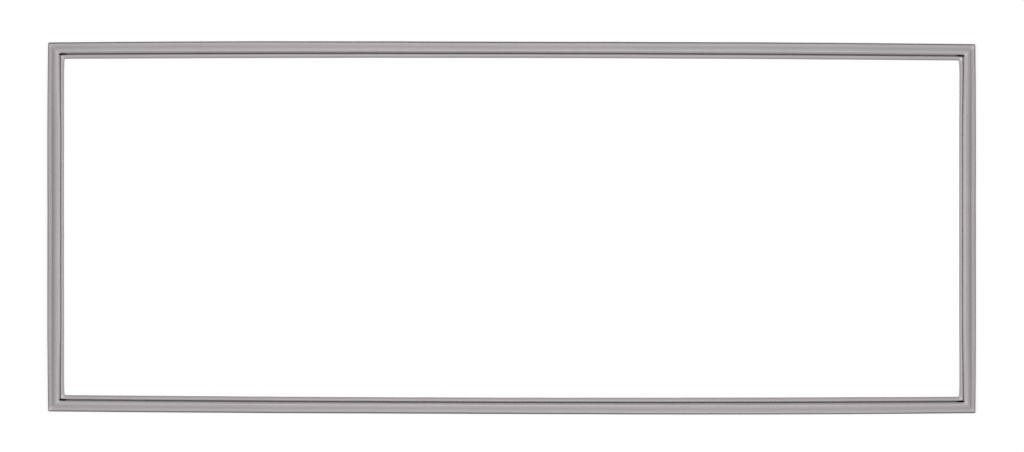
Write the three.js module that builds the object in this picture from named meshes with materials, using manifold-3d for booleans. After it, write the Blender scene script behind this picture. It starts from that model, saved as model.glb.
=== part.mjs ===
// Refrigerator door gasket: four lengths of hollow soft-PVC extrusion, mitred and welded into one frame,
// with a flexible magnet strip trapped in the pocket of each side.
// Millimetres. The frame lies on the tips of its darts, sealing face up (+Z), long sides along X,
// origin at the middle of the frame, on the surface that it lies on.
import * as THREE from "three";
import { mergeVertices } from "three/addons/utils/BufferGeometryUtils.js";
import Module from "manifold-3d";

const wasm = await Module();
wasm.setup();

// Frame, measured over the outer edges at the corners. A loose frame bows out between its corners.
const frameLength = 1562;
const frameWidth = 622;
const longSideBow = 3.2;
const shortSideBow = 1.1;
const outerCornerRadius = 2.2;

// Dart, which pushes into the groove of the door liner. Distances across the strip run inward from
// its outer edge, heights run up from the dart's tip.
const dartCentre = 12;
const dartLength = 8;
const dartStem = 2.2;
const dartTipWidth = 1.8;
const barbRise = 2.1;
const barbUndercut = 0.5;
const upperBarbRoot = 4.4;
const upperBarbReach = 3.5;
const lowerBarbRoot = 1.6;
const lowerBarbReach = 2.8;

// Walls.
const chamberWall = 1;
const pocketSkin = 0.9;
const lipWall = 1.15;

// Base and the bellows fold of the outer wall, above the base's back face. The back seats on two flat
// pads, with a shallow recess between them round the dart.
const baseInset = 1.5;
const baseWidth = 19.7;
const seatRecess = 0.3;
const seatRecessReach = 4.5;
const foldInset = 3;
const foldHeight = 4.4;
const outerEdgeHeight = 6.6;

// Sealing face: rim, valley and crowned bulb, above the base's back face.
const rimInset = 3.2;
const rimHeight = 12;
const valleyInset = 8.2;
const valleyHeight = 12.4;
const crownInset = 14;
const crownWidth = 2.3;
const crownHeight = 15;
const shoulderInset = 18.3;
const shoulderHeight = 12;
const flankInset = 19.1;
const flankHeight = 8.7;

// Narrow groove between the bulb and the inner lip.
const grooveInset = 19.3;
const grooveWidth = 0.5;
const grooveFloorHeight = 3;

// Inner lip, a fin that curls up beside the groove and droops to the inner edge.
const stripWidth = 28.2;
const lipShoulderInset = 22.4;
const lipShoulderHeight = 10.8;
const lipCrestInset = 25.2;
const lipCrestHeight = 11.9;
const lipEdgeHeight = 8.9;

// Magnet strip and its pocket.
const pocketWebHeight = 9.7;
const pocketEdgeHeight = 2.94;
const magnetClearance = 0.3;
const magnetEndGap = 9;

// Vent slots in the groove at the ends of the long sides, and the reliefs in the pocket's web.
const slotInset = 17.4;
const slotLength = 9.9;
const slotWidth = 3;
const slotHeight = 3;
const webReliefLength = 6;
const webReliefWidth = 5;

// Fillets of the section.
const grooveFillet = 0.2;
const smallFillet = 0.4;
const edgeFillet = 0.8;
const shoulderFillet = 1.2;
const softFillet = 2.4;

// Facets.
const arcStep = THREE.MathUtils.degToRad(50);
const longSideSteps = 10;
const shortSideSteps = 4;
const cornerTrimSteps = 4;
const cutterOverrun = 1;

const pvc = new THREE.MeshStandardMaterial({ color: 0xb2aeaf, roughness: 0.5, metalness: 0 });
const magnetRubber = new THREE.MeshStandardMaterial({ color: 0x3a3532, roughness: 0.75, metalness: 0 });

// A corner of the section: distance from the outer edge, height, and the fillet there.
function corner(inset, height, fillet = 0) {
  return { point: new THREE.Vector2(inset, height), fillet };
}

// The same for a height that is measured from the base's back face.
function bodyCorner(inset, height, fillet = 0) {
  return corner(inset, dartLength + height, fillet);
}

// Where two lines meet, each given by a point and a direction.
function meetingPoint(pointA, alongA, pointB, alongB) {
  const between = pointB.clone().sub(pointA);
  const distance = between.cross(alongB) / alongA.cross(alongB);
  return pointA.clone().addScaledVector(alongA, distance);
}

// Moves a line of points sideways, to the right of its direction. A closed line stays closed.
function moveSideways(points, distance, closed) {
  const count = points.length;
  const edges = points.map((point, index) => {
    const next = points[(index + 1) % count];
    const along = next.clone().sub(point).normalize();
    const start = point.clone().add(new THREE.Vector2(along.y, -along.x).multiplyScalar(distance));
    return { start, along };
  });
  return points.map((point, index) => {
    const before = edges[(index + count - 1) % count];
    const after = edges[index];
    if (!closed && index === 0) return after.start;
    if (!closed && index === count - 1) {
      return point.clone().add(new THREE.Vector2(before.along.y, -before.along.x).multiplyScalar(distance));
    }
    return meetingPoint(before.start, before.along, after.start, after.along);
  });
}

// Turns filleted corners into the points of a closed outline.
function filleted(corners) {
  const count = corners.length;
  return corners.flatMap(({ point, fillet }, index) => {
    if (fillet === 0) return [point.clone()];
    const before = corners[(index + count - 1) % count].point;
    const after = corners[(index + 1) % count].point;
    const toBefore = before.clone().sub(point).normalize();
    const toAfter = after.clone().sub(point).normalize();
    const halfAngle = Math.acos(THREE.MathUtils.clamp(toBefore.dot(toAfter), -1, 1)) / 2;
    const centreWay = toBefore.clone().add(toAfter).normalize();
    const centre = point.clone().addScaledVector(centreWay, fillet / Math.sin(halfAngle));
    const start = point.clone().addScaledVector(toBefore, fillet / Math.tan(halfAngle)).sub(centre);
    const turn = Math.PI - 2 * halfAngle;
    const side = Math.sign(start.cross(point.clone().sub(centre)));
    const steps = Math.max(1, Math.ceil(turn / arcStep));
    return Array.from({ length: steps + 1 }, (_, step) =>
      start.clone().rotateAround(new THREE.Vector2(), (side * turn * step) / steps).add(centre));
  });
}

// One flank of the dart, from the base down to the tip; side is 1 towards the inner edge, -1 outward.
function dartFlank(side) {
  const at = (reach) => dartCentre + side * reach;
  const stem = dartStem / 2;
  const upperBarbTop = upperBarbRoot + barbRise - barbUndercut;
  const lowerBarbTop = lowerBarbRoot + barbRise - barbUndercut;
  return [
    bodyCorner(at(seatRecessReach), 0),
    bodyCorner(at(seatRecessReach), seatRecess),
    bodyCorner(at(stem), seatRecess, smallFillet),
    corner(at(stem), upperBarbTop),
    corner(at(upperBarbReach), upperBarbRoot + barbRise, smallFillet / 2),
    corner(at(stem), upperBarbRoot),
    corner(at(stem), lowerBarbTop),
    corner(at(lowerBarbReach), lowerBarbRoot + barbRise, smallFillet / 2),
    corner(at(dartTipWidth / 2), 0),
  ];
}

// Key corners that the outer skin, the chamber and the pocket share.
const key = {
  baseOuter: bodyCorner(baseInset, 0, smallFillet),
  fold: bodyCorner(foldInset, foldHeight, edgeFillet),
  outerEdge: bodyCorner(0, outerEdgeHeight, edgeFillet),
  rim: bodyCorner(rimInset, rimHeight, shoulderFillet),
  valley: bodyCorner(valleyInset, valleyHeight, softFillet),
  crownOuter: bodyCorner(crownInset, crownHeight, softFillet),
  crownInner: bodyCorner(crownInset + crownWidth, crownHeight, shoulderFillet),
  shoulder: bodyCorner(shoulderInset, shoulderHeight, shoulderFillet),
  flank: bodyCorner(flankInset, flankHeight, shoulderFillet),
  grooveOuter: bodyCorner(grooveInset, grooveFloorHeight, grooveFillet),
  grooveInner: bodyCorner(grooveInset + grooveWidth, grooveFloorHeight, grooveFillet),
  lipShoulder: bodyCorner(lipShoulderInset, lipShoulderHeight, shoulderFillet),
  lipCrest: bodyCorner(lipCrestInset, lipCrestHeight, softFillet),
  lipEdge: bodyCorner(stripWidth, lipEdgeHeight, smallFillet),
  baseInner: bodyCorner(baseInset + baseWidth, 0, smallFillet),
};

// The underside of the lip runs parallel to its top and lands on the chamber's inner wall.
const lipTop = [key.grooveInner, key.lipShoulder, key.lipCrest, key.lipEdge].map(({ point }) => point);
const lipUnderside = moveSideways(lipTop, lipWall, false);
const [lipFoot, lipThroat, lipHollow, lipEdgeUnder] = lipUnderside;

const skinOutline = filleted([
  key.baseOuter, key.fold, key.outerEdge, key.rim, key.valley, key.crownOuter, key.crownInner,
  key.shoulder, key.flank, key.grooveOuter, key.grooveInner, key.lipShoulder, key.lipCrest, key.lipEdge,
  { point: lipEdgeUnder, fillet: smallFillet },
  { point: lipHollow, fillet: shoulderFillet },
  { point: lipThroat, fillet: smallFillet },
  { point: lipFoot, fillet: edgeFillet },
  key.baseInner,
  ...dartFlank(1),
  ...dartFlank(-1).reverse(),
]);

// A point on the straight line through two key corners, at a given distance from the outer edge or height.
function onLineAtInset(from, to, inset) {
  const share = (inset - from.point.x) / (to.point.x - from.point.x);
  return from.point.clone().lerp(to.point, share);
}
function onLineAtHeight(from, to, height) {
  const share = (height - from.point.y) / (to.point.y - from.point.y);
  return from.point.clone().lerp(to.point, share);
}

// The magnet's pocket lies a skin's thickness inside this outline, and the magnet a clearance further in.
// It starts where the bulb's outer slope stands the pocket's edge height above its web.
const webUnderside = dartLength + pocketWebHeight;
const pocketOuterTop = onLineAtHeight(key.valley, key.crownOuter, webUnderside + pocketEdgeHeight);
const pocketInset = pocketOuterTop.x;
const bulbOutline = [
  new THREE.Vector2(pocketInset, webUnderside),
  pocketOuterTop,
  key.crownOuter.point,
  key.crownInner.point,
  key.shoulder.point,
  onLineAtHeight(key.shoulder, key.flank, webUnderside),
];
const pocketOutline = moveSideways(bulbOutline, pocketSkin, true);
const magnetOutline = moveSideways(bulbOutline, pocketSkin + magnetClearance, true);

// The bellows chamber lies a wall's thickness inside this outline, below the pocket.
const pocketFloor = webUnderside + chamberWall;
const recessTop = dartLength + seatRecess;
const bodyOutline = [
  onLineAtHeight(key.baseOuter, key.fold, recessTop),
  key.fold.point,
  key.outerEdge.point,
  key.rim.point,
  key.valley.point,
  onLineAtInset(key.valley, key.crownOuter, pocketInset + chamberWall),
  new THREE.Vector2(pocketInset + chamberWall, pocketFloor),
  onLineAtHeight(key.shoulder, key.flank, pocketFloor),
  key.flank.point,
  key.grooveOuter.point,
  new THREE.Vector2(lipFoot.x, key.grooveInner.point.y),
  onLineAtHeight(key.baseInner, { point: lipFoot }, recessTop),
];
const chamberOutline = moveSideways(bodyOutline, chamberWall, true);

// How far the outer edge of a side stands out past the straight line between its corners.
const longBowAt = (x) => longSideBow * Math.cos((Math.PI * x) / frameLength);
const shortBowAt = (y) => shortSideBow * Math.cos((Math.PI * y) / frameWidth);

// The four corners in turn, anticlockwise from above; each side runs from one corner to the next.
const cornerSigns = [[1, 1], [-1, 1], [-1, -1], [1, -1]];
const mix = (from, to, share) => from * (1 - share) + to * share;

// Places a point of the section on a side. The share runs from one mitre to the next.
function onMitredSide(sideIndex, inset, height, share) {
  const [fromX, fromY] = cornerSigns[sideIndex];
  const [toX, toY] = cornerSigns[(sideIndex + 1) % 4];
  const halfLength = frameLength / 2 - inset;
  const halfWidth = frameWidth / 2 - inset;
  if (fromY === toY) {
    const bow = longBowAt(mix(fromX, toX, share) * halfLength);
    return [mix(fromX, toX, share) * (halfLength + shortBowAt(halfWidth)), fromY * (halfWidth + bow), height];
  }
  const bow = shortBowAt(mix(fromY, toY, share) * halfWidth);
  return [fromX * (halfLength + bow), mix(fromY, toY, share) * (halfWidth + longBowAt(halfLength)), height];
}

// The same for a strip that is cut square and ends short of the mitres.
function onSquareSide(sideIndex, inset, height, share) {
  const [fromX, fromY] = cornerSigns[sideIndex];
  const [toX, toY] = cornerSigns[(sideIndex + 1) % 4];
  const endInset = shoulderInset + magnetEndGap;
  if (fromY === toY) {
    const x = mix(fromX, toX, share) * (frameLength / 2 - endInset);
    return [x, fromY * (frameWidth / 2 - inset + longBowAt(x)), height];
  }
  const y = mix(fromY, toY, share) * (frameWidth / 2 - endInset);
  return [fromX * (frameLength / 2 - inset + shortBowAt(y)), y, height];
}

// Extrudes a section along one side: the extrusion's third coordinate is the share of the side's length.
function extrudeSide(outline, sideIndex, place) {
  const isLong = sideIndex % 2 === 0;
  const steps = isLong ? longSideSteps : shortSideSteps;
  const shape = new THREE.Shape(outline);
  const geometry = new THREE.ExtrudeGeometry(shape, { depth: 1, steps, bevelEnabled: false });
  const positions = geometry.getAttribute("position");
  for (let index = 0; index < positions.count; index += 1) {
    const share = Math.round(positions.getZ(index) * steps) / steps;
    positions.setXYZ(index, ...place(sideIndex, positions.getX(index), positions.getY(index), share));
  }
  return geometry;
}

function toSolid(geometry) {
  const bare = geometry.clone();
  bare.deleteAttribute("normal");
  bare.deleteAttribute("uv");
  const merged = mergeVertices(bare, 1e-4);
  const vertProperties = new Float32Array(merged.getAttribute("position").array);
  const triVerts = new Uint32Array(merged.getIndex().array);
  return new wasm.Manifold(new wasm.Mesh({ numProp: 3, vertProperties, triVerts }));
}

function toGeometry(solid) {
  const mesh = solid.getMesh();
  const geometry = new THREE.BufferGeometry();
  geometry.setAttribute("position", new THREE.BufferAttribute(mesh.vertProperties, 3));
  geometry.setIndex(new THREE.BufferAttribute(mesh.triVerts, 1));
  geometry.computeVertexNormals();
  return geometry;
}

// A box between two limits along each axis, in the quarter of the frame that the signs name.
function cornerBox([signX, signY], [nearX, farX], [nearY, farY], [low, high]) {
  const box = new THREE.BoxGeometry(farX - nearX, farY - nearY, high - low);
  box.translate((signX * (nearX + farX)) / 2, (signY * (nearY + farY)) / 2, (low + high) / 2);
  return box;
}

// Vent slot in the groove, from the mitre along the long side: it opens the bellows chamber.
function ventSlot(signs) {
  const far = frameLength / 2 - slotInset;
  const farY = frameWidth / 2 - slotInset;
  const floor = dartLength + grooveFloorHeight;
  const heights = [floor - chamberWall - cutterOverrun / 2, floor + slotHeight];
  return cornerBox(signs, [far - slotLength, far], [farY - slotWidth, farY], heights);
}

// Relief in the pocket's web beside the mitre: it opens the pocket into the chamber.
function webRelief(signs) {
  const bulbMiddle = (pocketInset + shoulderInset) / 2;
  const farX = frameLength / 2 - shoulderInset;
  const middleY = frameWidth / 2 - bulbMiddle;
  const across = [middleY - webReliefWidth / 2, middleY + webReliefWidth / 2];
  const heights = [webUnderside - cutterOverrun, pocketFloor + smallFillet];
  return cornerBox(signs, [farX - webReliefLength, farX], across, heights);
}

// What is trimmed off an outer corner to leave it round.
function cornerTrim([signX, signY]) {
  const tipX = frameLength / 2;
  const tipY = frameWidth / 2;
  const outline = new THREE.Shape();
  outline.moveTo(tipX - outerCornerRadius, tipY + cutterOverrun);
  outline.lineTo(tipX - outerCornerRadius, tipY);
  outline.absarc(tipX - outerCornerRadius, tipY - outerCornerRadius, outerCornerRadius, Math.PI / 2, 0, true);
  outline.lineTo(tipX + cutterOverrun, tipY - outerCornerRadius);
  outline.lineTo(tipX + cutterOverrun, tipY + cutterOverrun);
  const depth = dartLength + crownHeight;
  const geometry = new THREE.ExtrudeGeometry(outline, { depth, bevelEnabled: false, curveSegments: cornerTrimSteps });
  const turned = signX * signY < 0;
  geometry.scale(signX, signY, 1);
  if (turned) flipFaces(geometry);
  return geometry;
}

// A mirrored geometry has its faces turned in; this turns them out again.
function flipFaces(geometry) {
  const positions = geometry.getAttribute("position");
  const first = new THREE.Vector3();
  const second = new THREE.Vector3();
  for (let index = 0; index < positions.count; index += 3) {
    first.fromBufferAttribute(positions, index);
    second.fromBufferAttribute(positions, index + 1);
    positions.setXYZ(index, second.x, second.y, second.z);
    positions.setXYZ(index + 1, first.x, first.y, first.z);
  }
}

// Four mitred lengths of one outline, joined at their mitres.
function ring(outline) {
  const sides = cornerSigns.map((_, sideIndex) => toSolid(extrudeSide(outline, sideIndex, onMitredSide)));
  return sides.reduce((whole, side) => whole.add(side));
}

// The welded frame.
function gasketFrame() {
  const hollow = ring(skinOutline).subtract(ring(chamberOutline)).subtract(ring(pocketOutline));
  const cutters = cornerSigns.flatMap((signs) => [ventSlot(signs), webRelief(signs), cornerTrim(signs)]);
  return cutters.reduce((whole, cutter) => whole.subtract(toSolid(cutter)), hollow);
}

function part(name, geometry, material) {
  const mesh = new THREE.Mesh(geometry, material);
  mesh.name = name;
  return mesh;
}

const gasket = new THREE.Group();
gasket.add(part("gasket_frame", toGeometry(gasketFrame()), pvc));
const magnetNames = ["magnet_strip_hinge_side", "magnet_strip_top", "magnet_strip_handle_side", "magnet_strip_bottom"];
magnetNames.forEach((name, sideIndex) => {
  gasket.add(part(name, extrudeSide(magnetOutline, sideIndex, onSquareSide), magnetRubber));
});

export default gasket;
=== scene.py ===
"""The looks of a refrigerator door gasket that lies flat, sealing face up, seen from above.

The frame's skin and hollows are swept again at a fine step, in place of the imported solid, with the
uneven sides, weld seams and satin vinyl of the real thing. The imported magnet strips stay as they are
and get a material. Sizes are in millimetres, and the scene is in metres.
"""

import math

import bpy
import numpy as np
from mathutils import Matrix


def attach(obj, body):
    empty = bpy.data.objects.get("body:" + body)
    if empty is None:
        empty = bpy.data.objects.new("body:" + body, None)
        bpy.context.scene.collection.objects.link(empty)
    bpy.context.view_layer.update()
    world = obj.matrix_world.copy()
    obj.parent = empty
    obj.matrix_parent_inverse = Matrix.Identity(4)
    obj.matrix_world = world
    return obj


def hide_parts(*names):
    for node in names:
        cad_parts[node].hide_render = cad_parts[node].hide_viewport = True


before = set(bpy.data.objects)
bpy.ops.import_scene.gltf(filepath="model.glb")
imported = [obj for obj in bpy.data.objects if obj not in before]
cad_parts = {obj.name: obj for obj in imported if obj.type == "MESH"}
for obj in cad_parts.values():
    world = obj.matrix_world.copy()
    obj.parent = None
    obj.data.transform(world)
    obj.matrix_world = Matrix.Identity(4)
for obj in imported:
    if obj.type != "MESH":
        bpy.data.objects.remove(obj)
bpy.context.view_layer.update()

MM = 0.001

# Frame, over the outer edges at the corners.
FRAME_LENGTH = 1562.0
FRAME_WIDTH = 622.0
STRIP_WIDTH = 28.5
OUTER_CORNER_RADIUS = 2.2
OUTER_ROUNDING_DEPTH = 2.5
LIP_CORNER_RADIUS = 3.0
LIP_ROUNDING_START = 23.0
INNER_MITRE_RADIUS = 0.25

# A bow moves a whole side out. The others move mostly its outer edge: a swell in three waves, a lean
# towards one end, and a plumpness all along. Sides are in the order far, left, near and right.
TOP_BOW, LEFT_BOW, BOTTOM_BOW, RIGHT_BOW = 3.2, 1.4, 3.3, 0.7
SIDE_SWELL = (0.8, 0.6, 0.65, 0.4)
SIDE_LEAN = (0.25, 0.0, 0.8, 0.0)
SIDE_PLUMPNESS = (0.0, 0.45, 0.0, 0.35)
FULL_SHIFT_RISE = 12.0

# Small wander of the outer edge and of the lip.
EDGE_WANDER, EDGE_WAVES, EDGE_SEED = 0.25, (5, 8, 13), 10
LIP_WANDER, LIP_WAVES, LIP_SEED = 0.3, (4, 7, 11, 17), 20

# Section, as in the solids: insets run from the outer edge, heights from the dart's tip.
DART_CENTRE = 12.0
DART_LENGTH = 8.0
DART_STEM = 2.2
DART_TIP_WIDTH = 1.8
SEAT_RECESS = 0.3
SEAT_RECESS_REACH = 4.5
BARB_RISE = 2.1
BARB_UNDERCUT = 0.5
UPPER_BARB_ROOT, UPPER_BARB_REACH = 4.4, 3.5
LOWER_BARB_ROOT, LOWER_BARB_REACH = 1.6, 2.8
PAD_FILLET = 0.1
STEM_FILLET = 0.4
BARB_UNDER_FILLET, BARB_TIP_FILLET, BARB_ROOT_FILLET = 0.15, 0.2, 0.3
BASE_OUTER = 1.5
BASE_INNER = 21.2
CHAMBER_WALL = 1.0
POCKET_SKIN = 0.9
LIP_WALL = 1.15
LIP_UNDER_FILLET = 0.3
WEB_UNDERSIDE = 17.7
POCKET_EDGE = 2.94
SHORT_POCKET_DIP = 0.4

# Vent slots, from the groove to the chamber: heights of their ends on the lip's side and in the
# chamber, and how far they run along the long side and round its corner.
SLOT_TOP_INNER = 17.2
HOLLOW_SLOT_TOP = 17.1
HOLLOW_SLOT_BOTTOM = 9.8
SLOT_LENGTH = 10.4
SLOT_WRAP = 0.8

# Stops of the sweep: shares of the turn at a corner, distances from it, and steps along the rest.
ARC_STEP = math.radians(13)
CORNER_SHARES = (0.0, 0.3, 0.5, 0.7, 1.0)
NEAR_CORNER = (0.4, SLOT_WRAP, 2.6, 5.5, SLOT_LENGTH, 14.0)
LONG_STEPS = 92
SHORT_STEPS = 38

# The weld's flash stands up in the middle of the turn, between two shallow hollows.
SEAM_LIFTS = dict(zip(CORNER_SHARES, (-0.1, -0.04, 0.12, -0.04, -0.1)))
BESIDE_SEAM_LIFT = -0.05

# The short sides start from the corners with a share of their own section, and settle into more of it.
SETTLING_LENGTH = 150.0
SHARE_AT_CORNER = 0.33
SHARE_IN_MIDDLE = 0.82
SHARE_ON_MITRE = 0.2
MITRE_BLEND_LENGTH = 4.0

# The short sides' lips are narrower near the corners.
LIP_PINCH = 1.9
LIP_PINCH_REACH = 90.0
LIP_PINCH_START = 10.0

# Painted shade, as shares of darkening: the groove, the outer edge, the valley with its crease and the lip
# towards its edge are darkened where shade falls. Insets and spreads are across the strip.
GROOVE_MOUTH, GROOVE_SHADE_DEPTH, GROOVE_SHADE = 17.4, 6.0, 0.62
SHORT_GROOVE_LESS_SHADE = 0.75
EDGE_SHADE_INSET, EDGE_SHADE_REACH, EDGE_SHADE = 3.5, 1.4, 0.65
SHORT_EDGE_SHADE_WIDER = 0.45
LONG_VALLEY_INSET, LONG_VALLEY_SPREAD, LONG_VALLEY_SHADE = 9.0, 3.0, 0.14
SHORT_VALLEY_INSET, SHORT_VALLEY_SPREAD, SHORT_VALLEY_SHADE = 12.0, 4.0, 0.19
CREASE_INSET, CREASE_SPREAD, CREASE_SHADE = 9.0, 1.5, 0.26
LIP_SHADE_INSET, LIP_SHADE_REACH, LIP_SHADE = 24.0, 2.5, 0.12

# Pale weld flash. Strengths are for the far right, far left, near left and near right corners.
WELD_REACH = 2.8
FAINT_WELD = 0.12
OUTER_WELD = (1.0, 0.35, 1.0, 0.4)
OUTER_WELD_REACH, OUTER_WELD_INSET, OUTER_WELD_SPREAD = 5.0, 5.0, 2.4
INNER_WELD = (0.8, 0.35, 0.6, 0.9)
BULB_WELD_INSET, BULB_WELD_SPREAD = 17.5, 1.3
LIP_WELD_INSET, LIP_WELD_SPREAD = 24.0, 1.5

# Vinyl. Noise scales are along the strip and across it, in cells a metre. Depths are in metres.
CLOUD_SCALE = (9, 60, 1)
STREAK_SCALE = (4, 1400, 1)
SPECK_SCALE = (500, 500, 1)
GRAIN_SCALE = (2600, 2600, 1)
FLASH_SCALE = (650, 650, 1)
CLOUD_DARK, CLOUD_LIGHT = (179, 173, 175), (186, 180, 182)
STREAK_COLOUR, STREAK_STRENGTH = (160, 156, 158), 0.22
SPECK_COLOUR, SPECK_STRENGTH = (198, 194, 195), 0.16
# Near black of the painted shade: in the groove, on the outer edge, in the valley, on the lip and in the
# hollows.
PAINTED_SHADE_COLOUR = (22, 20, 20)
FLASH_DARK, FLASH_LIGHT = (120, 116, 117), (234, 230, 231)
FLASH_CONTRAST = (-0.4, 2.0)
VINYL_ROUGHNESS = (0.46, 0.58)
VINYL_SPECULAR = 0.15
LINE_DEPTH = 0.00003
GRAIN_DEPTH = 0.00002

# Magnet rubber.
DUST_SCALE = 60.0
RUBBER_GRAIN_SCALE = 2400.0
RUBBER_COLOUR, DUST_COLOUR = (46, 42, 40), (66, 61, 58)
RUBBER_ROUGHNESS = (0.66, 0.82)
RUBBER_GRAIN_DEPTH = 0.00003

# Floor and light. Lengths here are in metres.
FLOOR_HALF_LENGTH, FLOOR_HALF_WIDTH = 1.5, 1.1
FLOOR_SHADE = 0.14
FLOOR_GLOW = 0.89
AMBIENT = 0.28
KEY_HEIGHT = 1.4
KEY_RADIUS = 0.15
KEY_STRENGTH = 31.0

# Camera, from the photograph's frame.
CAMERA_HEIGHT = 2400.0
PHOTO_WIDTH = 1024
PHOTO_HEIGHT = 452
MM_PER_PIXEL = 1.6845
REFERENCE_HEIGHT = 14.6
OBJECT_CENTRE_X = 511.8
OBJECT_CENTRE_Y = 227.8
ROLL = math.radians(0.108)
SENSOR = 36.0


def srgb(red, green, blue):
    """A colour given as 0 to 255 display values, as linear numbers."""
    def channel(value):
        value = value / 255
        return value / 12.92 if value <= 0.04045 else ((value + 0.055) / 1.055) ** 2.4
    return (channel(red), channel(green), channel(blue), 1.0)


# Section outline

def unit(vector):
    """The vector at length one."""
    return vector / np.linalg.norm(vector)


def turned(vector, angle):
    """The vector turned anticlockwise."""
    cosine, sine = math.cos(angle), math.sin(angle)
    return np.array([vector[0] * cosine - vector[1] * sine, vector[0] * sine + vector[1] * cosine])


def cross(first, second):
    """The cross product of two flat vectors, positive when the second is anticlockwise of the first."""
    return first[0] * second[1] - first[1] * second[0]


def filleted(corners, steps=None):
    """A closed outline from corners (inset, height, fillet): points, each corner's steps and its start."""
    points = []
    starts = []
    taken = []
    for index, (inset, height, radius) in enumerate(corners):
        starts.append(len(points))
        here = np.array([inset, height])
        if radius == 0:
            points.append(here)
            taken.append(0)
            continue
        to_before = unit(np.array(corners[index - 1][:2]) - here)
        to_after = unit(np.array(corners[(index + 1) % len(corners)][:2]) - here)
        half = 0.5 * math.acos(np.clip(to_before @ to_after, -1, 1))
        centre = here + unit(to_before + to_after) * radius / math.sin(half)
        start = here + to_before * radius / math.tan(half) - centre
        turn = math.pi - 2 * half
        side = np.sign(cross(start, here - centre))
        count = steps[index] if steps else max(2, math.ceil(turn / ARC_STEP))
        points += [centre + turned(start, side * turn * number / count) for number in range(count + 1)]
        taken.append(count)
    return np.array(points), taken, starts


def moved_sideways(points, distance, closed=True):
    """Corners of the line through the points, moved to the right of its direction."""
    points = [np.array(point[:2], float) for point in points]
    count = len(points)
    starts = []
    alongs = []
    for index in range(count):
        along = unit(points[(index + 1) % count] - points[index])
        starts.append(points[index] + distance * np.array([along[1], -along[0]]))
        alongs.append(along)
    moved = []
    for index in range(count):
        if not closed and index == 0:
            moved.append(starts[0])
        elif not closed and index == count - 1:
            along = alongs[index - 1]
            moved.append(points[index] + distance * np.array([along[1], -along[0]]))
        else:
            between = starts[index] - starts[index - 1]
            share = cross(between, alongs[index]) / cross(alongs[index - 1], alongs[index])
            moved.append(starts[index - 1] + share * alongs[index - 1])
    return moved


def at_height(low, high, height):
    """The point of the straight line through two corners that has this height."""
    share = (height - low[1]) / (high[1] - low[1])
    return (low[0] + share * (high[0] - low[0]), height)


def at_inset(near, far, inset):
    """The point of the straight line through two corners that has this inset."""
    share = (inset - near[0]) / (far[0] - near[0])
    return (inset, near[1] + share * (far[1] - near[1]))


def dart_flank(side):
    """One flank of the dart, from the seat pad to the tip."""
    stem = DART_CENTRE + side * DART_STEM / 2
    pad = DART_CENTRE + side * SEAT_RECESS_REACH
    recess_top = DART_LENGTH + SEAT_RECESS
    upper_tip = UPPER_BARB_ROOT + BARB_RISE
    lower_tip = LOWER_BARB_ROOT + BARB_RISE
    return [
        (pad, DART_LENGTH, PAD_FILLET),
        (pad, recess_top, PAD_FILLET),
        (stem, recess_top, STEM_FILLET),
        (stem, upper_tip - BARB_UNDERCUT, BARB_UNDER_FILLET),
        (DART_CENTRE + side * UPPER_BARB_REACH, upper_tip, BARB_TIP_FILLET),
        (stem, UPPER_BARB_ROOT, BARB_ROOT_FILLET),
        (stem, lower_tip - BARB_UNDERCUT, BARB_UNDER_FILLET),
        (DART_CENTRE + side * LOWER_BARB_REACH, lower_tip, BARB_TIP_FILLET),
        (DART_CENTRE + side * DART_TIP_WIDTH / 2, 0.0, 0.0),
    ]


# Corners of the section: inset, height and fillet.
BASE_START = (BASE_OUTER, DART_LENGTH, 0.4)
FOLD = (3.0, 12.4, 0.8)
OUTER_EDGE = (0.0, 14.6, 0.8)
RIM = (3.2, 20.0, 1.2)
BASE_END = (BASE_INNER, DART_LENGTH, 0.4)

# The rest of the sealing face: on the short sides the bulb slopes flatter and the groove lies further in.
LONG_FACE = {
    "valley": (8.2, 20.4, 4.0),
    "slope": (11.7, 21.97, 2.0),
    "crown_outer": (14.0, 23.0, 2.4),
    "crown_inner": (16.3, 23.0, 1.2),
    "shoulder": (18.3, 20.0, 1.2),
    "flank": (19.1, 16.7, 1.2),
    "groove_outer": (19.3, 11.0, 0.2),
    "groove_inner": (19.8, 11.0, 0.2),
    "lip_shoulder": (21.9, 18.7, 1.0),
    "lip_crest": (23.8, 19.9, 1.8),
    "lip_fall": (25.3, 19.35, 1.5),
    "lip_edge": (28.3, 15.1, 0.5),
    "slot_top": 17.4,
}
SHORT_FACE = {
    "valley": (9.6, 19.6, 2.6),
    "slope": (13.6, 22.35, 3.0),
    "crown_outer": (17.5, 23.1, 4.0),
    "crown_inner": (21.2, 22.95, 2.5),
    "shoulder": (23.3, 22.1, 0.9),
    "flank": (23.95, 19.8, 0.9),
    "groove_outer": (24.15, 13.0, 0.04),
    "groove_inner": (24.25, 13.0, 0.04),
    "lip_shoulder": (25.0, 18.9, 1.0),
    "lip_crest": (26.4, 19.95, 1.5),
    "lip_fall": (27.7, 18.9, 1.5),
    "lip_edge": (28.8, 15.9, 0.5),
    "slot_top": 20.4,
}


def lip_underside(face):
    """Corners of the lip's underside, one wall away from its face, from the groove to the edge."""
    names = ("groove_inner", "lip_shoulder", "lip_crest", "lip_fall", "lip_edge")
    under = moved_sideways([face[name] for name in names], LIP_WALL, closed=False)
    return [(*point, LIP_UNDER_FILLET) for point in under]


def skin_corners(face):
    """Corners of the whole outline, clockwise from the base's outer corner."""
    under = lip_underside(face)
    return [
        BASE_START, FOLD, OUTER_EDGE, RIM, face["valley"], face["slope"], face["crown_outer"],
        face["crown_inner"], face["shoulder"],
        (*at_height(face["flank"], face["shoulder"], face["slot_top"]), 0),
        face["flank"], face["groove_outer"], face["groove_inner"],
        (*at_height(face["groove_inner"], face["lip_shoulder"], SLOT_TOP_INNER), 0),
        face["lip_shoulder"], face["lip_crest"], face["lip_fall"], face["lip_edge"],
        *reversed(under), BASE_END,
        *dart_flank(1), *reversed(dart_flank(-1)),
    ]


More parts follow.
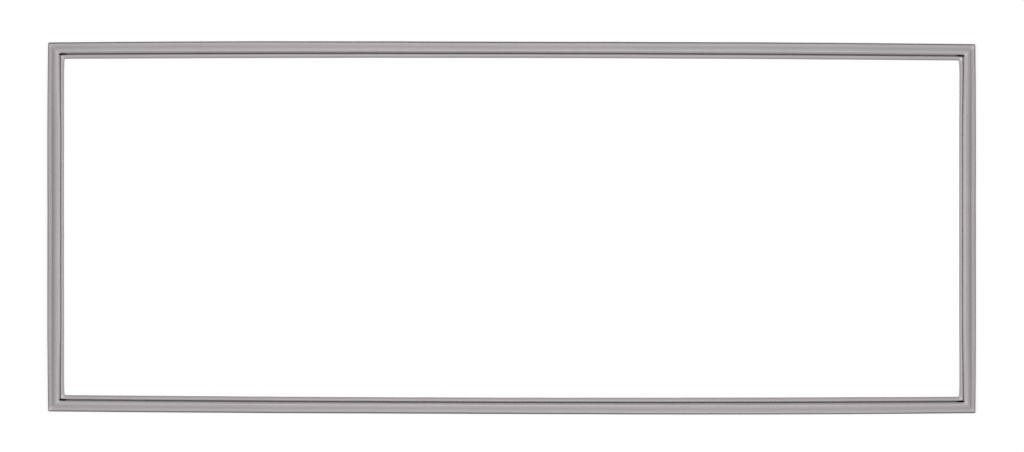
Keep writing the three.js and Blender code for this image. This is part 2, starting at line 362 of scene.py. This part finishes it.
# Places in the list of skin_corners.
OUTER_EDGE_CORNER = 2
RIM_CORNER = 3
VALLEY_CORNER = 4
SLOT_TOP_CORNER = 9
SLOT_END_CORNER = 13
LIP_SHOULDER_CORNER = 14
LIP_EDGE_CORNER = 17

# The pocket of the magnet strip and the chamber round it, from the long sides' face.
VALLEY = LONG_FACE["valley"]
CROWN_OUTER = LONG_FACE["crown_outer"]
SHOULDER = LONG_FACE["shoulder"]
FLANK = LONG_FACE["flank"]
GROOVE_OUTER = LONG_FACE["groove_outer"]
LIP_FOOT = lip_underside(LONG_FACE)[0]
pocket_outer_top = at_height(VALLEY, CROWN_OUTER, WEB_UNDERSIDE + POCKET_EDGE)
POCKET = moved_sideways([
    (pocket_outer_top[0], WEB_UNDERSIDE), pocket_outer_top, CROWN_OUTER, LONG_FACE["crown_inner"],
    SHOULDER, at_height(FLANK, SHOULDER, WEB_UNDERSIDE),
], POCKET_SKIN)
# The short sides' slope is lower over the pocket's outer edge, and so is that edge.
SHORT_POCKET = [POCKET[0], POCKET[1] - (0, SHORT_POCKET_DIP), *POCKET[2:]]

pocket_floor = WEB_UNDERSIDE + CHAMBER_WALL
recess_floor = DART_LENGTH + SEAT_RECESS
chamber = moved_sideways([
    at_height(BASE_START, FOLD, recess_floor), FOLD, OUTER_EDGE, RIM, VALLEY,
    at_inset(VALLEY, CROWN_OUTER, pocket_outer_top[0] + CHAMBER_WALL),
    (pocket_outer_top[0] + CHAMBER_WALL, pocket_floor), at_height(FLANK, SHOULDER, pocket_floor),
    FLANK, GROOVE_OUTER, (LIP_FOOT[0], GROOVE_OUTER[1]), at_height(BASE_END, LIP_FOOT, recess_floor),
], CHAMBER_WALL)

# The chamber with the ends of the vent slots as points of its own.
CHAMBER_SLOT_FROM = 8
CHAMBER_SLOT_TO = 12
CHAMBER = [
    *chamber[:8],
    at_height(chamber[8], chamber[7], HOLLOW_SLOT_TOP),
    *chamber[8:11],
    at_height(chamber[11], chamber[10], HOLLOW_SLOT_BOTTOM),
    chamber[11],
]


# Sweep round the frame: side 0 is the far long side and runs towards -X, then the others anticlockwise.

CORNER_SIGNS = ((1, 1), (-1, 1), (-1, -1), (1, -1))
SIDE_ALONG = ((-1, 0), (0, -1), (1, 0), (0, 1))
SIDE_OUT = ((0, 1), (-1, 0), (0, -1), (1, 0))
SIDE_LENGTHS = (FRAME_LENGTH, FRAME_WIDTH, FRAME_LENGTH, FRAME_WIDTH)


def mitre_radius(inset):
    """How round the corner is for each inset: most at the outer edge and at the lip's edge."""
    outer = OUTER_CORNER_RADIUS * (1 - inset / OUTER_ROUNDING_DEPTH)
    inner = LIP_CORNER_RADIUS * (inset - LIP_ROUNDING_START) / (STRIP_WIDTH - LIP_ROUNDING_START)
    return np.maximum(np.maximum(outer, inner), INNER_MITRE_RADIUS)


def stations():
    """The stops of the sweep in order, as (kind, side, value).

    The value is a share of the turn for "corner", a distance from it for "start" and "end", and a share
    of the rest of the side for "middle". A corner has the number of the side that starts from it.
    """
    stops = []
    for side in range(4):
        stops += [("corner", side, share) for share in CORNER_SHARES]
        stops += [("start", side, distance) for distance in NEAR_CORNER]
        steps = LONG_STEPS if side % 2 == 0 else SHORT_STEPS
        stops += [("middle", side, number / steps) for number in range(1, steps)]
        stops += [("end", side, distance) for distance in reversed(NEAR_CORNER)]
    return stops


STOPS = stations()


def seam_lift(kind, value):
    """How far the weld lifts the skin at a stop."""
    if kind == "corner":
        return SEAM_LIFTS[value]
    return BESIDE_SEAM_LIFT if kind != "middle" and value == NEAR_CORNER[0] else 0.0


def outward(points):
    """Unit normals of a clockwise outline, pointing to its left."""
    ahead = np.roll(points, -1, axis=0) - np.roll(points, 1, axis=0)
    normal = np.stack([-ahead[:, 1], ahead[:, 0]], axis=1)
    return normal / np.linalg.norm(normal, axis=1)[:, None]


def wander(along, seed, size, waves):
    """A small smooth wander along a side, from a few sine waves."""
    random = np.random.default_rng(seed)
    total = 0.0
    for count in waves:
        total += random.uniform(0.5, 1.0) * math.sin(2 * math.pi * (count * along + random.uniform()))
    return size * total / len(waves)


def side_place(side, kind, value, inset):
    """Distance along a side from its middle, for an array of insets."""
    half = SIDE_LENGTHS[side] / 2 - inset - mitre_radius(inset)
    if kind == "start":
        return -half + value
    if kind == "end":
        return half - value
    return (half - NEAR_CORNER[-1]) * (2 * value - 1)


def from_corner(kind, side, value):
    """A stop's distance from the nearer mitre."""
    if kind == "corner":
        return 0.0
    if kind != "middle":
        return value
    length = SIDE_LENGTHS[side] - 2 * NEAR_CORNER[-1]
    return NEAR_CORNER[-1] + length * min(value, 1 - value)


def lip_pinch(kind, side, value):
    """How far a stop's lip is drawn in: only on the short sides, and most a little way off the corners."""
    if side % 2 == 0:
        return 0.0
    distance = from_corner(kind, side, value)
    return LIP_PINCH * math.exp(-distance / LIP_PINCH_REACH) * (1 - math.exp(-distance / LIP_PINCH_START))


def settled(kind, side, value):
    """How far a stop has the short sides' section, from 0 to 1."""
    distance = from_corner(kind, side, value)
    mitre = math.exp(-distance / MITRE_BLEND_LENGTH)
    if kind == "corner" or side % 2 == 0:
        return SHARE_ON_MITRE * mitre
    share = min(distance / SETTLING_LENGTH, 1.0)
    eased = share * share * (3 - 2 * share)
    away = SHARE_AT_CORNER + (SHARE_IN_MIDDLE - SHARE_AT_CORNER) * eased
    return away + (SHARE_ON_MITRE - away) * mitre


def side_shift(kind, side, value, inset, along):
    """How far each inset of a side moves out at a stop, which lies at the share `along` of the side."""
    fade = math.sin(math.pi * along) ** 0.5
    swell = SIDE_SWELL[side] * math.sin(3 * math.pi * along)
    swell -= SIDE_LEAN[side] * math.sin(2 * math.pi * along)
    swell += SIDE_PLUMPNESS[side] * fade
    swell += wander(along, side + EDGE_SEED, EDGE_WANDER * fade, EDGE_WAVES)
    lip_swell = wander(along, side + LIP_SEED, LIP_WANDER * fade, LIP_WAVES)
    across = inset / STRIP_WIDTH
    return swell * (1 - across) + lip_swell * across ** 2 + lip_pinch(kind, side, value) * across ** 6


def on_corner(side, value, inset):
    """Places of the insets at a stop of a corner's turn, before the bows."""
    radius = mitre_radius(inset)
    sign_x, sign_y = CORNER_SIGNS[side]
    angle = (side + value) * math.pi / 2
    x = sign_x * (FRAME_LENGTH / 2 - inset - radius) + radius * math.cos(angle)
    y = sign_y * (FRAME_WIDTH / 2 - inset - radius) + radius * math.sin(angle)
    return x, y


def on_side(kind, side, value, inset, height):
    """Places of the insets at a stop of a side, before the bows."""
    place = side_place(side, kind, value, inset)
    along = float(np.clip(np.mean((place / (SIDE_LENGTHS[side] / 2) + 1) / 2), 0, 1))
    above = np.clip((height - DART_LENGTH) / FULL_SHIFT_RISE, 0, 1)
    out = SIDE_LENGTHS[side - 1] / 2 - inset + side_shift(kind, side, value, inset, along) * above
    x = SIDE_ALONG[side][0] * place + SIDE_OUT[side][0] * out
    y = SIDE_ALONG[side][1] * place + SIDE_OUT[side][1] * out
    return x, y


def bowed(x, y):
    """Places with the sides bowed out, and with the frame's slight lean against the camera's roll."""
    arch_x = np.cos(math.pi * np.clip(x / FRAME_LENGTH, -0.5, 0.5))
    arch_y = np.cos(math.pi * np.clip(y / FRAME_WIDTH, -0.5, 0.5))
    bow_x = np.where(x > 0, RIGHT_BOW, -LEFT_BOW) * arch_y
    bow_y = np.where(y > 0, TOP_BOW, -BOTTOM_BOW) * arch_x
    return (
        x + bow_x * np.abs(x) / (FRAME_LENGTH / 2) - math.tan(ROLL) * y,
        y + bow_y * np.abs(y) / (FRAME_WIDTH / 2),
    )


def swept(long_outline, short_outline, lifted):
    """The outline at every stop, as an array of stops by points by three, in millimetres."""
    long_outline = np.array(long_outline)
    short_outline = np.array(short_outline)
    rings = []
    for kind, side, value in STOPS:
        share = settled(kind, side, value)
        points = long_outline * (1 - share) + short_outline * share
        if lifted:
            points = points + outward(points) * seam_lift(kind, value)
            points[:, 1] = np.maximum(points[:, 1], 0)
        inset, height = points.T
        if kind == "corner":
            x, y = on_corner(side, value, inset)
        else:
            x, y = on_side(kind, side, value, inset, height)
        rings.append(np.stack([*bowed(x, y), height], axis=1))
    return np.array(rings)


def slot_spans():
    """Spans of stops that each vent slot covers: from a little round the corner along the long side."""
    spans = []
    for corner in range(4):
        before, after = (SLOT_WRAP, SLOT_LENGTH) if corner % 2 == 0 else (SLOT_LENGTH, SLOT_WRAP)
        start = STOPS.index(("end", (corner + 3) % 4, before))
        end = STOPS.index(("start", corner, after))
        spans.append((start, end))
    return spans


def in_hole(stop, point, hole, stop_count):
    """Whether the quad after this stop and point lies in a hole."""
    start, end, low, high = hole
    span = (end - start) % stop_count
    return (stop - start) % stop_count < span and low <= point < high


def grid_faces(first, stop_count, point_count, holes, inward):
    """Quads of a closed sweep, facing out of its outline or, for a hollow, into it.

    A hole is (first stop, last stop, first point, last point).
    """
    faces = []
    for stop in range(stop_count):
        after = (stop + 1) % stop_count
        for point in range(point_count):
            if any(in_hole(stop, point, hole, stop_count) for hole in holes):
                continue
            beside = (point + 1) % point_count
            quad = (
                first + stop * point_count + point,
                first + stop * point_count + beside,
                first + after * point_count + beside,
                first + after * point_count + point,
            )
            faces.append(quad if inward else tuple(reversed(quad)))
    return faces


def build_gasket():
    """The vinyl frame: skin, chamber and pocket, with the vent slots' walls between skin and chamber."""
    skin_outline, steps, starts = filleted(skin_corners(LONG_FACE))
    short_outline = filleted(skin_corners(SHORT_FACE), steps)[0]
    skin = swept(skin_outline, short_outline, lifted=True)
    hollow = swept(CHAMBER, CHAMBER, lifted=False)
    pocket = swept(POCKET, SHORT_POCKET, lifted=False)
    stop_count = len(STOPS)
    skin_low, skin_high = starts[SLOT_TOP_CORNER], starts[SLOT_END_CORNER]
    spans = slot_spans()
    skin_count = len(skin_outline)
    hollow_count = len(CHAMBER)
    hollow_first = stop_count * skin_count
    pocket_first = hollow_first + stop_count * hollow_count

    skin_holes = [(start, end, skin_low, skin_high) for start, end in spans]
    hollow_holes = [(start, end, CHAMBER_SLOT_FROM, CHAMBER_SLOT_TO) for start, end in spans]
    faces = grid_faces(0, stop_count, skin_count, skin_holes, inward=False)
    faces += grid_faces(hollow_first, stop_count, hollow_count, hollow_holes, inward=True)
    faces += grid_faces(pocket_first, stop_count, len(POCKET), [], inward=True)

    def skin_at(stop, point):
        return (stop % stop_count) * skin_count + point

    def hollow_at(stop, point):
        return hollow_first + (stop % stop_count) * hollow_count + point

    for start, end in spans:
        length = (end - start) % stop_count
        for stop in range(start, start + length):
            faces.append((skin_at(stop + 1, skin_low), hollow_at(stop + 1, CHAMBER_SLOT_FROM),
                          hollow_at(stop, CHAMBER_SLOT_FROM), skin_at(stop, skin_low)))
            faces.append((skin_at(stop, skin_high), hollow_at(stop, CHAMBER_SLOT_TO),
                          hollow_at(stop + 1, CHAMBER_SLOT_TO), skin_at(stop + 1, skin_high)))
        near, far = [
            [skin_at(stop, point) for point in range(skin_low, skin_high + 1)]
            + [hollow_at(stop, point) for point in range(CHAMBER_SLOT_TO, CHAMBER_SLOT_FROM - 1, -1)]
            for stop in (start, end)
        ]
        faces.append(tuple(reversed(near)))
        faces.append(tuple(far))

    vertices = np.concatenate([skin.reshape(-1, 3), hollow.reshape(-1, 3), pocket.reshape(-1, 3)]) * MM
    mesh = bpy.data.meshes.new("gasket_vinyl")
    mesh.from_pydata(vertices.tolist(), [], faces)
    mesh.update()
    mesh.polygons.foreach_set("use_smooth", [True] * len(mesh.polygons))
    add_strip_map(mesh, skin_outline, stop_count, skin_count, hollow_count, skin)
    # Painted shade in the groove, on the outer edge, in the valley and on the lip, and near black in the
    # hollows.
    add_painted_shade(mesh, skin, skin_outline, starts)
    add_weld(mesh, skin_outline)
    piece = bpy.data.objects.new("gasket_vinyl", mesh)
    bpy.context.scene.collection.objects.link(piece)
    return piece


def hump(inset, centre, spread):
    """One at the centre, falling off to both sides of it."""
    return np.exp(-((inset - centre) / spread) ** 2)


def add_share(mesh, name, values):
    """Gives every point of the mesh a number that the material reads."""
    attribute = mesh.attributes.new(name, "FLOAT", "POINT")
    attribute.data.foreach_set("value", values)


def weld_share(kind, value, reach):
    """How much of the weld flash a stop shows: all of it in the corner's turn, none from the reach on."""
    if kind == "corner":
        return 1.0
    return 0.0 if kind == "middle" else max(0.0, 1 - value / reach)


def add_weld(mesh, outline):
    """Pale flash of the welds: a spot at the outer corner, one beside the groove and one on the lip."""
    inset = outline[:, 0]
    on_face = outline[:, 1] > OUTER_EDGE[1]
    outer = hump(inset, OUTER_WELD_INSET, OUTER_WELD_SPREAD)
    inner = hump(inset, BULB_WELD_INSET, BULB_WELD_SPREAD) + hump(inset, LIP_WELD_INSET, LIP_WELD_SPREAD)
    weld = np.zeros(len(mesh.vertices))
    for index, (kind, side, value) in enumerate(STOPS):
        corner = (side + 1) % 4 if kind == "end" else side
        spots = (FAINT_WELD + INNER_WELD[corner] * inner) * weld_share(kind, value, WELD_REACH)
        spots += OUTER_WELD[corner] * outer * weld_share(kind, value, OUTER_WELD_REACH)
        first = index * len(inset)
        weld[first:first + len(inset)] = np.clip(spots, 0, 1) * on_face
    add_share(mesh, "weld", weld)


def add_painted_shade(mesh, skin, outline, starts):
    """Painted shade, by stop and point of the skin: the groove, outer edge, valley and lip's edge are
    darkened where shade falls. The hollows are painted near black.
    """
    inset = outline[:, 0]
    heights = skin[:, :, 2]
    point = np.arange(len(outline))

    def between_corners(first, after):
        return (point >= starts[first]) & (point < starts[after])

    short = np.array([[settled(*stop)] for stop in STOPS])
    on_short = np.clip(short / SHARE_AT_CORNER, 0, 1)

    groove = np.clip((GROOVE_MOUTH - heights) / GROOVE_SHADE_DEPTH, 0, 1)
    groove = GROOVE_SHADE * groove * (1 - SHORT_GROOVE_LESS_SHADE * on_short)
    groove *= between_corners(SLOT_TOP_CORNER, LIP_SHOULDER_CORNER)

    edge_inset = EDGE_SHADE_INSET + SHORT_EDGE_SHADE_WIDER * on_short
    edge = EDGE_SHADE * np.clip((edge_inset - inset) / EDGE_SHADE_REACH, 0, 1)
    edge *= (heights > OUTER_EDGE[1]) & between_corners(OUTER_EDGE_CORNER, VALLEY_CORNER)

    long_valley = LONG_VALLEY_SHADE * hump(inset, LONG_VALLEY_INSET, LONG_VALLEY_SPREAD)
    short_valley = SHORT_VALLEY_SHADE * hump(inset, SHORT_VALLEY_INSET, SHORT_VALLEY_SPREAD)
    short_valley += CREASE_SHADE * hump(inset, CREASE_INSET, CREASE_SPREAD)
    valley = long_valley * (1 - short) + short_valley * short
    valley *= between_corners(RIM_CORNER, SLOT_TOP_CORNER)

    lip = LIP_SHADE * np.clip((inset - LIP_SHADE_INSET) / LIP_SHADE_REACH, 0, 1)
    lip *= (point >= starts[LIP_SHOULDER_CORNER]) & (point <= starts[LIP_EDGE_CORNER])

    # The hollows are painted fully dark, in place of their shade.
    painted_shade = np.ones(len(mesh.vertices))
    painted_shade[:heights.size] = (groove + edge + valley + lip).ravel()
    add_share(mesh, "painted_shade", painted_shade)


def add_strip_map(mesh, outline, stop_count, skin_count, hollow_count, skin):
    """A map in metres: along the frame, and across the strip round its outline."""
    middle = skin[:, skin_count // 4, :2]
    along = np.concatenate([[0], np.cumsum(np.linalg.norm(np.diff(middle, axis=0), axis=1))])
    around = np.concatenate([[0], np.cumsum(np.linalg.norm(np.diff(outline, axis=0), axis=1))])
    closing = np.linalg.norm(middle[0] - middle[-1])
    closing_across = np.linalg.norm(outline[0] - outline[-1])
    layer = mesh.uv_layers.new(name="strip")
    loops = np.empty(len(mesh.loops), dtype=np.int64)
    mesh.loops.foreach_get("vertex_index", loops)
    coords = np.zeros((len(loops), 2))
    skin_total = stop_count * skin_count
    on_skin = loops < skin_total
    stop = np.where(on_skin, loops // skin_count, (loops - skin_total) // hollow_count % stop_count)
    point = np.where(on_skin, loops % skin_count, 0)
    coords[:, 0] = along[stop]
    coords[:, 1] = around[point]
    polygons = np.empty(len(mesh.polygons), dtype=np.int64)
    mesh.polygons.foreach_get("loop_start", polygons)
    totals = np.empty(len(mesh.polygons), dtype=np.int64)
    mesh.polygons.foreach_get("loop_total", totals)
    quads = polygons[totals == 4]
    corner = quads[:, None] + np.arange(4)[None]
    stops_of = stop[corner]
    wraps = (stops_of.max(axis=1) == stop_count - 1) & (stops_of.min(axis=1) == 0)
    wrap_corner = corner[wraps]
    late = stop[wrap_corner] == 0
    coords[wrap_corner[late], 0] = along[-1] + closing
    points_of = point[corner]
    turns = (points_of.max(axis=1) == skin_count - 1) & (points_of.min(axis=1) == 0)
    turn_corner = corner[turns & on_skin[corner].all(axis=1)]
    first = point[turn_corner] == 0
    coords[turn_corner[first], 1] = around[-1] + closing_across
    layer.data.foreach_set("uv", (coords * MM).ravel())


# Materials

def new_material(name):
    """An empty material with one Principled shader."""
    material = bpy.data.materials.new(name)
    material.use_nodes = True
    nodes = material.node_tree.nodes
    nodes.clear()
    output = nodes.new("ShaderNodeOutputMaterial")
    shader = nodes.new("ShaderNodeBsdfPrincipled")
    material.node_tree.links.new(shader.outputs["BSDF"], output.inputs["Surface"])
    return material, nodes, material.node_tree.links, shader


def noise(nodes, links, vector, scale, detail=3.0, roughness=0.5):
    """Noise over the coordinates, about one half."""
    node = nodes.new("ShaderNodeTexNoise")
    node.inputs["Scale"].default_value = scale
    node.inputs["Detail"].default_value = detail
    node.inputs["Roughness"].default_value = roughness
    links.new(vector, node.inputs["Vector"])
    return node.outputs["Fac"]


def stretched(nodes, links, vector, scale):
    """The coordinates with a scale for each axis."""
    node = nodes.new("ShaderNodeMapping")
    node.inputs["Scale"].default_value = scale
    links.new(vector, node.inputs["Vector"])
    return node.outputs["Vector"]


def between(nodes, links, factor, low, high):
    """Maps noise about its middle to a range."""
    node = nodes.new("ShaderNodeMapRange")
    node.inputs["From Min"].default_value = 0.25
    node.inputs["From Max"].default_value = 0.75
    node.inputs["To Min"].default_value = low
    node.inputs["To Max"].default_value = high
    links.new(factor, node.inputs["Value"])
    return node.outputs["Result"]


def mixed(nodes, links, factor, first, second):
    """A blend from the first colour to the second. Either is a value or another node's output."""
    node = nodes.new("ShaderNodeMix")
    node.data_type = "RGBA"
    links.new(factor, node.inputs["Factor"])
    for value, socket in ((first, node.inputs[6]), (second, node.inputs[7])):
        if isinstance(value, tuple):
            socket.default_value = value
        else:
            links.new(value, socket)
    return node.outputs[2]


def bumped(nodes, links, height, distance, normal=None):
    """A bump of this depth in metres, over another one if there is a normal."""
    node = nodes.new("ShaderNodeBump")
    node.inputs["Strength"].default_value = 1.0
    node.inputs["Distance"].default_value = distance
    links.new(height, node.inputs["Height"])
    if normal is not None:
        links.new(normal, node.inputs["Normal"])
    return node.outputs["Normal"]


def vinyl():
    """Satin grey vinyl: cloudy colour, fine die lines along the strip and a fine grain, with painted shade
    and pale weld flash from the mesh.
    """
    material, nodes, links, shader = new_material("satin_vinyl")
    strip = nodes.new("ShaderNodeUVMap")
    strip.uv_map = "strip"

    def on_strip(scale, detail, roughness=0.5):
        coords = stretched(nodes, links, strip.outputs["UV"], scale)
        return noise(nodes, links, coords, 1.0, detail, roughness)

    def blended(pattern, low, high, first, second):
        return mixed(nodes, links, between(nodes, links, pattern, low, high), first, second)

    cloud = on_strip(CLOUD_SCALE, 3.0)
    streak = on_strip(STREAK_SCALE, 2.0)
    speck = on_strip(SPECK_SCALE, 4.0, 0.6)
    grain = on_strip(GRAIN_SCALE, 2.0)
    rough = on_strip(FLASH_SCALE, 2.0)
    cloudy = blended(cloud, 0.0, 1.0, srgb(*CLOUD_DARK), srgb(*CLOUD_LIGHT))
    streaky = blended(streak, 0.0, STREAK_STRENGTH, cloudy, srgb(*STREAK_COLOUR))
    specked = blended(speck, 0.0, SPECK_STRENGTH, streaky, srgb(*SPECK_COLOUR))
    # Painted shade from the mesh: darker in the groove, on the outer edge, in the valley and on the lip,
    # and near black in the hollows.
    painted_shade = nodes.new("ShaderNodeAttribute")
    painted_shade.attribute_name = "painted_shade"
    with_painted_shade = mixed(nodes, links, painted_shade.outputs["Fac"], specked, srgb(*PAINTED_SHADE_COLOUR))
    weld = nodes.new("ShaderNodeAttribute")
    weld.attribute_name = "weld"
    flash = blended(rough, *FLASH_CONTRAST, srgb(*FLASH_DARK), srgb(*FLASH_LIGHT))
    welded = mixed(nodes, links, weld.outputs["Fac"], with_painted_shade, flash)
    links.new(welded, shader.inputs["Base Color"])
    links.new(between(nodes, links, cloud, *VINYL_ROUGHNESS), shader.inputs["Roughness"])
    shader.inputs["Specular IOR Level"].default_value = VINYL_SPECULAR
    lines = bumped(nodes, links, streak, LINE_DEPTH)
    links.new(bumped(nodes, links, grain, GRAIN_DEPTH, lines), shader.inputs["Normal"])
    return material


def ferrite_rubber():
    """Dark bonded ferrite with a dull, slightly dusty face."""
    material, nodes, links, shader = new_material("ferrite_rubber")
    coords = nodes.new("ShaderNodeTexCoord").outputs["Object"]
    dust = noise(nodes, links, coords, DUST_SCALE, 5.0, 0.6)
    grain = noise(nodes, links, coords, RUBBER_GRAIN_SCALE, 2.0)
    dust_share = between(nodes, links, dust, 0.0, 1.0)
    dusty = mixed(nodes, links, dust_share, srgb(*RUBBER_COLOUR), srgb(*DUST_COLOUR))
    links.new(dusty, shader.inputs["Base Color"])
    links.new(between(nodes, links, dust, *RUBBER_ROUGHNESS), shader.inputs["Roughness"])
    links.new(bumped(nodes, links, grain, RUBBER_GRAIN_DEPTH), shader.inputs["Normal"])
    return material


def seen_directly(nodes, links):
    """One for the camera's rays, and for glossy and transmitted rays, else nought."""
    path = nodes.new("ShaderNodeLightPath")
    total = path.outputs["Is Camera Ray"]
    for name in ("Is Glossy Ray", "Is Transmission Ray"):
        larger = nodes.new("ShaderNodeMath")
        larger.operation = "MAXIMUM"
        links.new(total, larger.inputs[0])
        links.new(path.outputs[name], larger.inputs[1])
        total = larger.outputs["Value"]
    return total


def studio_floor():
    """Plain floor that keeps the shadow; where it is seen, its own light takes it up to white."""
    material, nodes, links, shader = new_material("studio_floor")
    shader.inputs["Base Color"].default_value = (FLOOR_SHADE, FLOOR_SHADE, FLOOR_SHADE, 1.0)
    shader.inputs["Roughness"].default_value = 0.9
    shader.inputs["Specular IOR Level"].default_value = 0.0
    glow = nodes.new("ShaderNodeMath")
    glow.operation = "MULTIPLY"
    glow.inputs[1].default_value = FLOOR_GLOW
    links.new(seen_directly(nodes, links), glow.inputs[0])
    shader.inputs["Emission Color"].default_value = (1, 1, 1, 1)
    links.new(glow.outputs["Value"], shader.inputs["Emission Strength"])
    return material


# Stage

def make_floor():
    """A flat floor that the gasket lies on."""
    mesh = bpy.data.meshes.new("studio_floor")
    signs = ((-1, -1), (1, -1), (1, 1), (-1, 1))
    corners = [(x * FLOOR_HALF_LENGTH, y * FLOOR_HALF_WIDTH, 0) for x, y in signs]
    mesh.from_pydata(corners, [], [(0, 1, 2, 3)])
    floor = bpy.data.objects.new("studio_floor", mesh)
    floor.data.materials.append(studio_floor())
    bpy.context.scene.collection.objects.link(floor)


def make_world():
    """Even light from all round, which is white where it is seen."""
    world = bpy.data.worlds.new("studio")
    bpy.context.scene.world = world
    world.use_nodes = True
    nodes = world.node_tree.nodes
    links = world.node_tree.links
    nodes.clear()
    output = nodes.new("ShaderNodeOutputWorld")
    ambient = nodes.new("ShaderNodeBackground")
    ambient.inputs["Color"].default_value = (1.0, 1.0, 1.0, 1.0)
    ambient.inputs["Strength"].default_value = AMBIENT
    white = nodes.new("ShaderNodeBackground")
    white.inputs["Color"].default_value = (1.0, 1.0, 1.0, 1.0)
    white.inputs["Strength"].default_value = 1.0
    mix = nodes.new("ShaderNodeMixShader")
    links.new(seen_directly(nodes, links), mix.inputs["Fac"])
    links.new(ambient.outputs["Background"], mix.inputs[1])
    links.new(white.outputs["Background"], mix.inputs[2])
    links.new(mix.outputs["Shader"], output.inputs["Surface"])


def make_key_light():
    """A small lamp over the middle, which lights the near and the far sides alike."""
    light = bpy.data.lights.new("overhead_lamp", "POINT")
    light.shadow_soft_size = KEY_RADIUS
    light.energy = 1.0
    light.use_nodes = True
    nodes = light.node_tree.nodes
    falloff = nodes.new("ShaderNodeLightFalloff")
    falloff.inputs["Strength"].default_value = KEY_STRENGTH
    light.node_tree.links.new(falloff.outputs["Constant"], nodes["Emission"].inputs["Strength"])
    lamp = bpy.data.objects.new("overhead_lamp", light)
    lamp.location = (0, 0, KEY_HEIGHT)
    lamp.visible_camera = False
    bpy.context.scene.collection.objects.link(lamp)


def make_camera():
    """Looks straight down, rolled a little, with the object's centre where the photograph has it."""
    camera = bpy.data.cameras.new("overhead_camera")
    pixels_per_radian = (CAMERA_HEIGHT - REFERENCE_HEIGHT) / MM_PER_PIXEL
    camera.sensor_width = SENSOR
    camera.lens = SENSOR * pixels_per_radian / PHOTO_WIDTH
    across = (PHOTO_WIDTH / 2 - OBJECT_CENTRE_X) * MM_PER_PIXEL * MM
    up = (OBJECT_CENTRE_Y - PHOTO_HEIGHT / 2) * MM_PER_PIXEL * MM
    rig = bpy.data.objects.new("overhead_camera", camera)
    rig.location = (across, up, CAMERA_HEIGHT * MM)
    rig.rotation_euler = (0, 0, ROLL)
    bpy.context.scene.collection.objects.link(rig)
    bpy.context.scene.camera = rig


make_camera()
make_floor()
make_world()
make_key_light()
bpy.context.scene.view_settings.view_transform = "Standard"

gasket = build_gasket()
gasket.data.materials.append(vinyl())
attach(gasket, "root")
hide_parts("gasket_frame")

magnet_material = ferrite_rubber()
for name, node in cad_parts.items():
    if name.startswith("magnet_strip"):
        for slot in node.material_slots:
            slot.material = magnet_material
